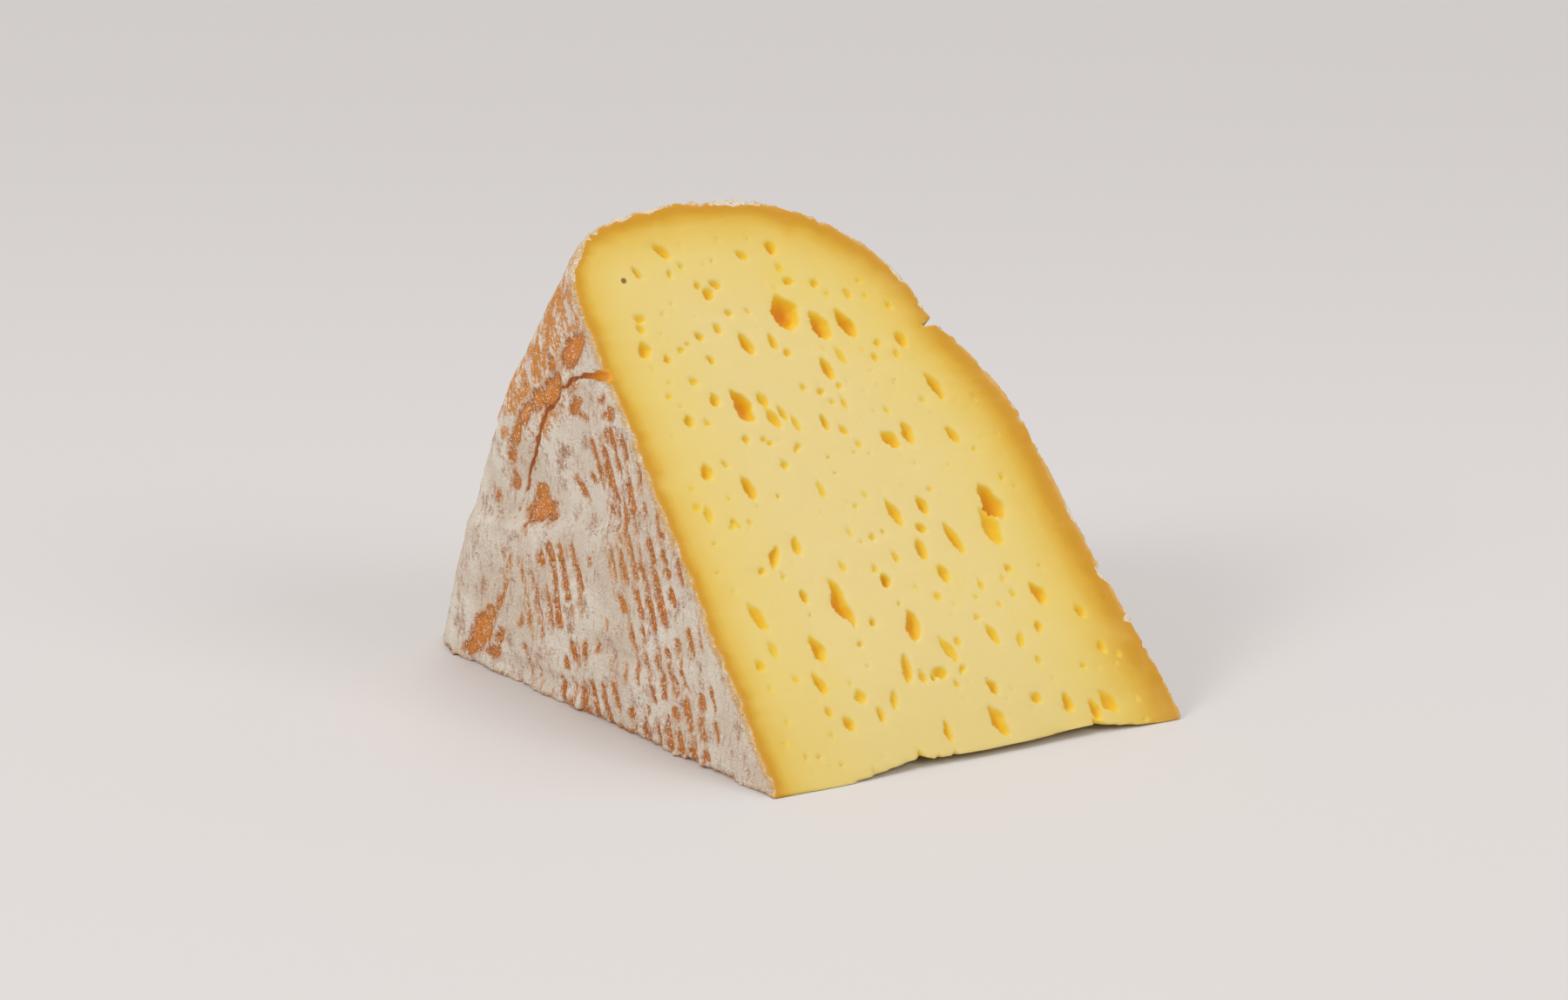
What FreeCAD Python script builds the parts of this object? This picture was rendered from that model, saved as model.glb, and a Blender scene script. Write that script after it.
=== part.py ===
"""A block of Bethmale cheese: a sector cut from a small wheel, standing on one of its two cut faces.

Frame: millimetres, +Z up, origin at the middle of the underside of the block's box.
X runs along the sharp front edge from the left rind to the right rind, Y runs from that edge
to the heel. The block is worked out in a "knife frame" with its origin at the left end of the
front edge, and is moved to its own origin at the end.
"""
import FreeCAD, Part
import math
import os

from FreeCAD import Rotation, Vector

# ---- Driving dimensions -------------------------------------------------------------------
WHEEL_THICKNESS = 90.0     # between the two flat rinds, measured along the wheel's axis
SECTOR_DEPTH = 115.6       # from the front edge to the crest of the heel
SECTOR_ANGLE = 56.0        # degrees between the two cut faces
HEEL_RADIUS = 290.0        # curve of the slumped heel, seen along the wheel's axis
HEEL_ASPECT = 33.0         # degrees above the underside of the direction that the heel faces

SKEW_BACK = 5.1            # degrees that the knife cut runs off the wheel's axis, to the back
SKEW_UP = 3.2              # degrees that the knife cut runs off the wheel's axis, upwards

# Section of the wheel. A drop is measured from the crest of the heel towards the front edge,
# an inset from the left or the right rind towards the middle of the wheel.
CORNER_INSET = 12.0        # tight rounded corner between the left rind and the heel
CORNER_CREST_DROP = 1.2
CORNER_DROP = 15.0
CORNER_BULGE = 3.7
HEEL_BULGE = 3.3
SHOULDER_INSET = 36.2      # where the crest of the heel turns down towards the right
SHOULDER_DROP = 8.8
SHOULDER_BULGE = 3.2
FLANK_INSET = 17.0         # the crease where the slumped shoulder meets the flank
FLANK_DROP = 36.5
FLANK_BULGE = 0.9
WAIST_INSET = 7.8          # where the flank meets the right rind
WAIST_DROP = 57.0
WAIST_BULGE = -0.4         # the right rind is a little hollow
FOOT_FLARE = 0.6           # and spreads at the front edge

# Underside: the front edge has dried and lifted off the board between its two ends.
LIFT_HEIGHT = 1.7
LIFT_LEFT_INSET = 16.0     # where it begins, from the left rind
LIFT_RIGHT_INSET = 2.0     # where it ends, from the right rind
LIFT_REACH = 34.0          # how far back the lifted part goes

# Split in the right rind, along the crease between the shoulder and the flank.
SPLIT_DEPTH = 4.5          # from the crease inwards, at the upper cut face
SPLIT_OPENING_UP = 1.35    # at the crease, above the level of the split's tip
SPLIT_OPENING_DOWN = 0.45  # and below it
SPLIT_RUN_OUT = 18.0       # distance below the cut face at which the split has closed

# Crack in the left rind, which starts at the upper cut face and then follows the rim:
# (degrees below the cut face, drop from the crest of the heel).
CRACK_ROUTE = ((-1.2, 30.6), (4.3, 24.9), (10.6, 20.0), (16.2, 19.2), (21.9, 19.4), (27.0, 19.8),
               (33.3, 19.7))
CRACK_WIDTH_START = 1.4
CRACK_WIDTH_END = 0.5
CRACK_DEPTH_RATIO = 1.2    # depth for each mm of width

CLEARANCE = 2.0            # how far a cutting shape stands out of the face that it cuts
EYE_DEPTH_RATIO = 0.6      # depth of an eye for each mm of its width

# Eyes that the knife opened in the upper cut face. Their places are percentages of the wheel's
# thickness, from the left rind, and of the sector's depth, from the front edge. Then come the
# length and the width in mm, and the lean to the left in degrees.
UPPER_EYES = (
    (36.7, 80.4, 7.4, 4.2, 22), (44.0, 77.3, 6.2, 3.0, 22), (50.4, 77.2, 6.6, 2.2, 25),
    (19.9, 66.0, 7.4, 3.0, 22), (25.8, 64.4, 6.0, 1.7, 22), (25.4, 76.1, 5.0, 1.8, 22),
    (12.0, 94.2, 4.2, 1.5, 35), (37.7, 92.0, 2.8, 2.0, 60), (20.2, 86.0, 3.0, 1.9, 35),
    (0.9, 77.9, 3.4, 2.2, 5), (42.3, 69.8, 4.8, 1.8, 12), (13.9, 67.6, 2.8, 1.5, 20),
    (62.4, 72.8, 3.6, 1.6, 20), (66.6, 63.8, 6.4, 1.7, 22), (52.1, 56.1, 4.6, 2.2, 45),
    (56.7, 56.7, 5.0, 1.8, 15), (67.3, 55.4, 4.8, 1.3, 25), (37.9, 60.9, 3.6, 1.3, 15),
    (15.4, 52.1, 5.0, 1.8, 12), (47.8, 43.8, 6.2, 1.5, 20), (54.9, 44.1, 4.0, 1.8, 20),
    (16.7, 39.7, 5.0, 1.8, -25), (8.3, 30.5, 6.4, 2.1, 18), (28.8, 30.3, 10.2, 2.5, 13),
    (40.8, 32.6, 2.8, 1.7, 10), (51.4, 36.8, 4.8, 1.6, 10), (60.0, 37.8, 7.2, 1.5, 18),
    (71.4, 42.6, 8.0, 3.2, 22), (69.6, 37.7, 7.0, 2.6, 16), (54.9, 32.0, 4.0, 1.6, 20),
    (76.0, 26.0, 5.0, 1.9, 20), (43.8, 24.3, 6.2, 2.5, -5), (19.9, 23.4, 5.6, 2.1, 12),
    (84.6, 21.6, 3.2, 1.5, 15), (62.0, 20.5, 5.0, 1.4, 25), (18.0, 17.6, 5.0, 1.5, 15),
    (39.1, 17.4, 6.0, 1.8, -8), (50.6, 19.4, 6.6, 1.4, 22), (21.8, 10.1, 3.4, 1.7, 25),
    (57.1, 5.9, 6.8, 2.4, 15), (74.8, 6.7, 4.0, 2.0, 5), (84.6, 5.7, 5.6, 2.0, 30),
)

# Eyes in the lower cut face, on which the block rests, in the same order.
LOWER_EYES = (
    (15.6, 20.8, 5.4, 2.0, 18), (34.4, 53.6, 6.8, 2.4, 22), (64.4, 41.5, 7.4, 2.8, 15),
    (24.4, 76.1, 5.0, 1.8, 25), (52.2, 83.9, 6.0, 2.2, 20), (73.3, 65.7, 4.6, 1.7, 12),
    (82.2, 29.4, 5.6, 2.0, 24), (10.0, 45.0, 4.2, 1.6, 10), (56.7, 17.3, 5.0, 1.9, -12),
    (40.0, 34.6, 4.4, 1.5, 20), (44.4, 67.5, 3.6, 1.6, 30), (68.9, 53.6, 3.8, 1.5, 8),
)

# ---- Values worked out from the driving dimensions ------------------------------------------
LEFT_RIND = -WHEEL_THICKNESS / 2
RIGHT_RIND = WHEEL_THICKNESS / 2
REACH = 3 * (WHEEL_THICKNESS + SECTOR_DEPTH)    # long enough to pass right through the block

WHEEL_AXIS = Vector(1, math.tan(math.radians(SKEW_BACK)), math.tan(math.radians(SKEW_UP)))
WHEEL_AXIS.normalize()
WHEEL_TURN = Rotation(Vector(1, 0, 0), WHEEL_AXIS)
ALONG = Vector(1, 0, 0)                         # along the front edge
CUT_UP = Vector(0, math.cos(math.radians(SECTOR_ANGLE)), math.sin(math.radians(SECTOR_ANGLE)))
CUT_OUT = Vector(0, -CUT_UP.z, CUT_UP.y)        # out of the upper cut face
BACK = Vector(0, 1, 0)                          # along the lower cut face
DOWN = Vector(0, 0, -1)                         # out of the lower cut face

FRONT_MIDDLE = ALONG * (WHEEL_THICKNESS / 2)
HUB_DISTANCE = HEEL_RADIUS - SECTOR_DEPTH       # from the front edge to the heel curve's centre
HUB_BACK = -HUB_DISTANCE * math.cos(math.radians(HEEL_ASPECT))
HUB_UP = -HUB_DISTANCE * math.sin(math.radians(HEEL_ASPECT))
HUB = FRONT_MIDDLE + WHEEL_TURN.multVec(Vector(0, HUB_BACK, HUB_UP))


def arc_with_bulge(start, end, bulge):
    """Arc from start to end whose middle stands bulge mm to the left of the straight line."""
    across = end - start
    side = Vector(-across.z, 0, across.x)
    side.normalize()
    middle = (start + end) * 0.5 + side * bulge
    return Part.Arc(start, middle, end).toShape()


def line(start, end):
    return Part.LineSegment(start, end).toShape()


def wheel():
    """The whole slumped wheel: its section turned about the centre of the heel's curve."""
    rim_left = Vector(LEFT_RIND, 0, HEEL_RADIUS - CORNER_DROP)
    crest = Vector(LEFT_RIND + CORNER_INSET, 0, HEEL_RADIUS - CORNER_CREST_DROP)
    shoulder = Vector(RIGHT_RIND - SHOULDER_INSET, 0, HEEL_RADIUS - SHOULDER_DROP)
    flank = Vector(RIGHT_RIND - FLANK_INSET, 0, HEEL_RADIUS - FLANK_DROP)
    waist = Vector(RIGHT_RIND - WAIST_INSET, 0, HEEL_RADIUS - WAIST_DROP)
    foot = Vector(RIGHT_RIND + FOOT_FLARE, 0, HEEL_RADIUS - SECTOR_DEPTH)
    hub_right = Vector(foot.x, 0, 0)
    hub_left = Vector(LEFT_RIND, 0, 0)
    outline = Part.Wire([
        line(hub_left, rim_left),
        arc_with_bulge(rim_left, crest, CORNER_BULGE),
        arc_with_bulge(crest, shoulder, HEEL_BULGE),
        arc_with_bulge(shoulder, flank, SHOULDER_BULGE),
        arc_with_bulge(flank, waist, FLANK_BULGE),
        arc_with_bulge(waist, foot, WAIST_BULGE),
        line(foot, hub_right),
        line(hub_right, hub_left),
    ])
    body = Part.Face(outline).revolve(Vector(0, 0, 0), ALONG, 360)
    body.Placement = FreeCAD.Placement(HUB, WHEEL_TURN)
    return body


def sector():
    """The space between the two cut faces, which meet along the front edge."""
    start = ALONG * -REACH
    triangle = Part.makePolygon([start, start + BACK * REACH, start + CUT_UP * REACH, start])
    return Part.Face(triangle).extrude(ALONG * (2 * REACH))


def on_wheel(across, drop, outwards):
    """The point at a place across the wheel and a drop, straight outwards from the front edge."""
    start = ALONG * ((across + FRONT_MIDDLE.dot(WHEEL_AXIS)) / WHEEL_AXIS.x)
    climb = outwards - ALONG * (outwards.dot(WHEEL_AXIS) / WHEEL_AXIS.x)
    from_hub = start - HUB
    square = climb.dot(climb)
    middle = climb.dot(from_hub)
    rest = from_hub.dot(from_hub) - across ** 2 - (HEEL_RADIUS - drop) ** 2
    return start + climb * ((math.sqrt(middle ** 2 - square * rest) - middle) / square)


def eye(opening, up, out, length, width, lean):
    """A slit as an ellipsoid centred on the cut face, leaning to the left by lean degrees."""
    direction = Rotation(out, lean).multVec(up)
    long_axis = direction * (length / 2)
    wide_axis = direction.cross(out) * (width / 2)
    deep_axis = out * (width * EYE_DEPTH_RATIO)
    stretch = FreeCAD.Matrix(wide_axis.x, long_axis.x, deep_axis.x, opening.x,
                             wide_axis.y, long_axis.y, deep_axis.y, opening.y,
                             wide_axis.z, long_axis.z, deep_axis.z, opening.z,
                             0, 0, 0, 1)
    return Part.makeSphere(1).transformGeometry(stretch)


def eyes(places, up, out):
    """The eyes of one cut face, whose directions from the front edge and outwards are up and out."""
    hollows = []
    for across, along, length, width, lean in places:
        opening = ALONG * (WHEEL_THICKNESS * across / 100) + up * (SECTOR_DEPTH * along / 100)
        hollows.append(eye(opening, up, out, length, width, lean))
    return hollows


def lifted_edge():
    """A shallow drum-shaped hollow under the front edge, which runs out towards the back."""
    half_width = (WHEEL_THICKNESS - LIFT_LEFT_INSET - LIFT_RIGHT_INSET) / 2
    radius = (half_width ** 2 + LIFT_HEIGHT ** 2) / (2 * LIFT_HEIGHT)
    slope = math.atan2(LIFT_HEIGHT, LIFT_REACH)
    axis = Vector(0, math.cos(slope), -math.sin(slope))
    top_of_hollow = Vector(LIFT_LEFT_INSET + half_width, 0, LIFT_HEIGHT)
    start = top_of_hollow - Vector(0, math.sin(slope), math.cos(slope)) * radius - axis * LIFT_REACH
    return Part.makeCylinder(radius, 3 * LIFT_REACH, start, axis)


def rind_split():
    """A wedge-shaped split in the right rind, deepest at the cut face and closed further back."""
    crease = on_wheel(RIGHT_RIND - FLANK_INSET, FLANK_DROP, CUT_UP)
    tip = crease - ALONG * SPLIT_DEPTH
    upper_lip = tip + (ALONG * SPLIT_DEPTH + CUT_UP * SPLIT_OPENING_UP) * 2
    lower_lip = tip + (ALONG * SPLIT_DEPTH - CUT_UP * SPLIT_OPENING_DOWN) * 2
    mouth = Part.Face(Part.makePolygon([tip, upper_lip, lower_lip, tip]))
    run = ALONG * (2 * SPLIT_DEPTH) - CUT_OUT * SPLIT_RUN_OUT
    margin = CLEARANCE / SPLIT_RUN_OUT
    mouth.translate(run * -margin)
    return mouth.extrude(run * (1 + margin))


def rind_crack():
    """A thin crack in the left rind: a V groove in straight runs that narrows along its route."""
    points = []
    for below_cut, drop in CRACK_ROUTE:
        angle = math.radians(SECTOR_ANGLE - below_cut)
        points.append(on_wheel(LEFT_RIND, drop, Vector(0, math.cos(angle), math.sin(angle))))
    runs = len(points) - 1
    grooves = []
    for number in range(runs):
        start = points[number]
        end = points[number + 1]
        width = CRACK_WIDTH_START + (CRACK_WIDTH_END - CRACK_WIDTH_START) * number / (runs - 1)
        depth = width * CRACK_DEPTH_RATIO
        direction = end - start
        direction.normalize()
        side = WHEEL_AXIS.cross(direction)
        first = start - direction * (width / 2)
        above = WHEEL_AXIS * -depth
        corners = [first + WHEEL_AXIS * depth,
                   first + above + side * width,
                   first + above - side * width]
        section = Part.Face(Part.makePolygon(corners + corners[:1]))
        grooves.append(section.extrude(end - start + direction * width))
    return grooves


def cheese_block():
    block = wheel().common(sector())
    openings = eyes(UPPER_EYES, CUT_UP, CUT_OUT) + eyes(LOWER_EYES, BACK, DOWN)
    openings += rind_crack() + [lifted_edge(), rind_split()]
    block = block.cut(openings)
    if len(block.Solids) != 1:
        raise RuntimeError(f"the block is {len(block.Solids)} solids, not one")
    return block.Solids[0]


def at_own_origin(shape):
    """Move a shape so that its origin is the middle of the underside of its box."""
    box = shape.optimalBoundingBox(False)
    middle = Vector((box.XMin + box.XMax) / 2, (box.YMin + box.YMax) / 2, box.ZMin)
    return shape.translated(middle * -1), middle


def main():
    os.makedirs("parts", exist_ok=True)
    block, middle = at_own_origin(cheese_block())
    block.exportStep("parts/cheese_block.step")
    box = block.optimalBoundingBox(False)
    print(f"size {box.XLength:.2f} x {box.YLength:.2f} x {box.ZLength:.2f} mm, "
          f"volume {block.Volume / 1000:.1f} cm3, valid {block.isValid()}, faces {len(block.Faces)}")
    print(f"front edge starts at {-middle.x:.3f}, {-middle.y:.3f}, {-middle.z:.3f} mm")


main()
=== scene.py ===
"""Looks of a block of Bethmale cheese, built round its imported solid.

The block is one closed mesh. Its shape is worked out as a field of signed distances in
millimetres (negative inside) on a fine grid, in the "knife frame": origin at the left end of the
sharp front edge, X along that edge to the right rind, Y back to the heel, Z up. The grid gives
the mesh, and the same field functions give the attributes that colour it.
"""
import math

import bpy
import numpy as np
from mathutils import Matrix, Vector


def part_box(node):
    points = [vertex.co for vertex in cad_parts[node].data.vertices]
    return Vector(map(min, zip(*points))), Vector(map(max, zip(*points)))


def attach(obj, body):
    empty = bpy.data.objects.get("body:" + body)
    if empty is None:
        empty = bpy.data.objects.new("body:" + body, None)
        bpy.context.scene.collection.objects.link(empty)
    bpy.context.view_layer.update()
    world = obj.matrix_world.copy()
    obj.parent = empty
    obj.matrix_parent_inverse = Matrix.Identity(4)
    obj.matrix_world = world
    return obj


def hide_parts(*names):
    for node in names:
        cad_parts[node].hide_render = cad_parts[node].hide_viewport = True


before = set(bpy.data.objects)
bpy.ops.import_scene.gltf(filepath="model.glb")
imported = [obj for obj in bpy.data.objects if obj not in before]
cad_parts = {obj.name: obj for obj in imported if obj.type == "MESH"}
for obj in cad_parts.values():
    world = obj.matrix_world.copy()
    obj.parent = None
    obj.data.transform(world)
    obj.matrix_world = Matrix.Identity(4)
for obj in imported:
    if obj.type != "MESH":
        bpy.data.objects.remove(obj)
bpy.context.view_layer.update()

import openvdb
from mathutils import Vector

SEED = 41
MM = 0.001

# ---- Sizes of the block, in mm and degrees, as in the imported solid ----
BOX_LOW, BOX_HIGH = (np.array(corner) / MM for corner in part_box("cheese_block"))
LEFT_OVERHANG = 10.456  # how far the left rind leans out past the front edge's end
KNIFE_ORIGIN = np.array([BOX_LOW[0] + LEFT_OVERHANG, BOX_LOW[1], 0.0])

WHEEL_THICKNESS = 90.0
SECTOR_DEPTH = 115.6
SECTOR_ANGLE = math.radians(56.0)
HEEL_RADIUS = 290.0
HEEL_ASPECT = math.radians(33.0)
SKEW_BACK = math.radians(5.1)
SKEW_UP = math.radians(3.2)
LIFT_REACH = 34.0  # how far back the curled front edge is off the board
SPLIT_TIP = (60.4, 86.2)  # along the front edge, up the cut face

# Section of the wheel, from the left rind over the heel to the right rind:
# (place across the wheel, drop from the crest of the heel, bulge of the arc from the last point).
SECTION = (
    (-45.0, 15.0, 0.0),
    (-33, 1.2, 3.7),
    (8.8, 8.8, 3.3),
    (28, 36.5, 3.2),
    (37.2, 57, 0.9),
    (45.6, 115.6, -0.4),
)
SECTION_FLOOR_DROP = 140.0  # where the section is closed, well below the front edge

WHEEL_AXIS = np.array([1.0, math.tan(SKEW_BACK), math.tan(SKEW_UP)])
WHEEL_AXIS /= np.linalg.norm(WHEEL_AXIS)
WHEEL_TURN = np.array(Vector((1, 0, 0)).rotation_difference(Vector(WHEEL_AXIS)).to_matrix())
FRONT_MIDDLE = np.array([WHEEL_THICKNESS / 2, 0.0, 0.0])
HUB_DISTANCE = HEEL_RADIUS - SECTOR_DEPTH
HUB = FRONT_MIDDLE - WHEEL_TURN @ np.array(
    [0.0, HUB_DISTANCE * math.cos(HEEL_ASPECT), HUB_DISTANCE * math.sin(HEEL_ASPECT)])

ALONG = np.array([1.0, 0.0, 0.0])
CUT_UP = np.array([0.0, math.cos(SECTOR_ANGLE), math.sin(SECTOR_ANGLE)])
CUT_OUT = np.array([0.0, -math.sin(SECTOR_ANGLE), math.cos(SECTOR_ANGLE)])
BACK = np.array([0.0, 1.0, 0.0])
DOWN = np.array([0.0, 0.0, -1.0])

# ---- Grid and mesh ----
STEP = 0.45  # mm between grid points
MARGIN = 3.0  # mm of empty grid round the block
BAND = 2.2  # mm each side of the surface where relief is worked out
SLAB = 16  # layers of the grid that are worked out at a time
MAX_TRIANGLES = 190_000


# ---- Small tools for fields ----
class Noise:
    """Smooth random field from -1 to 1: values on a random lattice, blended between its points."""

    SIZE = 64

    def __init__(self, seed):
        source = np.random.default_rng(SEED * 1000 + seed)
        self.lattice = source.uniform(-1, 1, (self.SIZE,) * 3).astype(np.float32)

    def __call__(self, points, wavelength):
        place = points / wavelength
        cell = np.floor(place).astype(np.int64)
        part = (place - cell).astype(np.float32)
        part = part * part * part * (part * (part * 6 - 15) + 10)
        low = cell % self.SIZE
        high = (cell + 1) % self.SIZE
        total = 0
        for x in (0, 1):
            for y in (0, 1):
                for z in (0, 1):
                    corner = [(high if side else low)[..., axis] for axis, side in enumerate((x, y, z))]
                    weight = 1
                    for axis, side in enumerate((x, y, z)):
                        weight = weight * (part[..., axis] if side else 1 - part[..., axis])
                    total = total + self.lattice[tuple(corner)] * weight
        return total


def smooth_max(a, b, width):
    """The greater of two fields, with the crease between them rounded over a width."""
    share = np.clip(0.5 + 0.5 * (a - b) / width, 0, 1)
    return b + (a - b) * share + width * share * (1 - share)


def ramp(value, start, end):
    """0 below start, 1 above end, and a smooth step between."""
    share = np.clip((value - start) / (end - start), 0, 1)
    return share * share * (3 - 2 * share)


# ---- The plain block ----
def section_outline():
    """The wheel's section as a closed polygon of (place across, drop) points."""
    points = [np.array(SECTION[0][:2])]
    for across, drop, bulge in SECTION[1:]:
        start = points[-1]
        end = np.array([across, drop])
        chord = end - start
        out = np.array([chord[1], -chord[0]]) / np.linalg.norm(chord)
        for share in np.linspace(0, 1, 17)[1:]:
            points.append(start + chord * share + out * bulge * 4 * share * (1 - share))
    first, last = points[0], points[-1]
    points.append(np.array([last[0], SECTION_FLOOR_DROP]))
    points.append(np.array([first[0], SECTION_FLOOR_DROP]))
    return np.array(points)


def outline_distance(x, y):
    """Signed distance from each place to the outline of the wheel's section."""
    outline = section_outline()
    nearest = np.full(x.shape, np.inf)
    inside = np.zeros(x.shape, bool)
    for start, end in zip(outline, np.roll(outline, -1, axis=0)):
        run = end - start
        share = np.clip(((x - start[0]) * run[0] + (y - start[1]) * run[1]) / (run @ run), 0, 1)
        gap = np.hypot(x - start[0] - run[0] * share, y - start[1] - run[1] * share)
        nearest = np.minimum(nearest, gap)
        if start[1] != end[1]:
            crosses = (start[1] > y) != (end[1] > y)
            inside ^= crosses & (x < start[0] + (y - start[1]) * run[0] / run[1])
    return np.where(inside, -nearest, nearest)


class SectionTable:
    """Signed distance to the wheel's section, looked up from a table of (across, drop)."""

    STEP = 0.5
    LOW = np.array([-60.0, -14.0])
    HIGH = np.array([60.0, 132.0])

    def __init__(self):
        across = np.arange(self.LOW[0], self.HIGH[0] + self.STEP, self.STEP)
        drop = np.arange(self.LOW[1], self.HIGH[1] + self.STEP, self.STEP)
        places = np.meshgrid(across, drop, indexing="ij")
        self.table = outline_distance(*places).astype(np.float32)

    def __call__(self, across, drop):
        size = self.table.shape
        x = np.clip((across - self.LOW[0]) / self.STEP, 0, size[0] - 1.001)
        y = np.clip((drop - self.LOW[1]) / self.STEP, 0, size[1] - 1.001)
        i = x.astype(np.int32)
        j = y.astype(np.int32)
        x = x - i
        y = y - j
        table = self.table
        return ((table[i, j] * (1 - x) + table[i + 1, j] * x) * (1 - y)
                + (table[i, j + 1] * (1 - x) + table[i + 1, j + 1] * x) * y)


SECTION_TABLE = SectionTable()


def wheel_places(points):
    """Each point's place across the wheel and its drop from the crest of the heel."""
    from_hub = points - HUB
    across = from_hub @ WHEEL_AXIS
    radius = np.sqrt(np.maximum((from_hub * from_hub).sum(-1) - across * across, 0))
    return across, HEEL_RADIUS - radius


def upper_cut(points):
    """Distance above the upper cut face (negative inside the cheese)."""
    return points @ CUT_OUT


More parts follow.
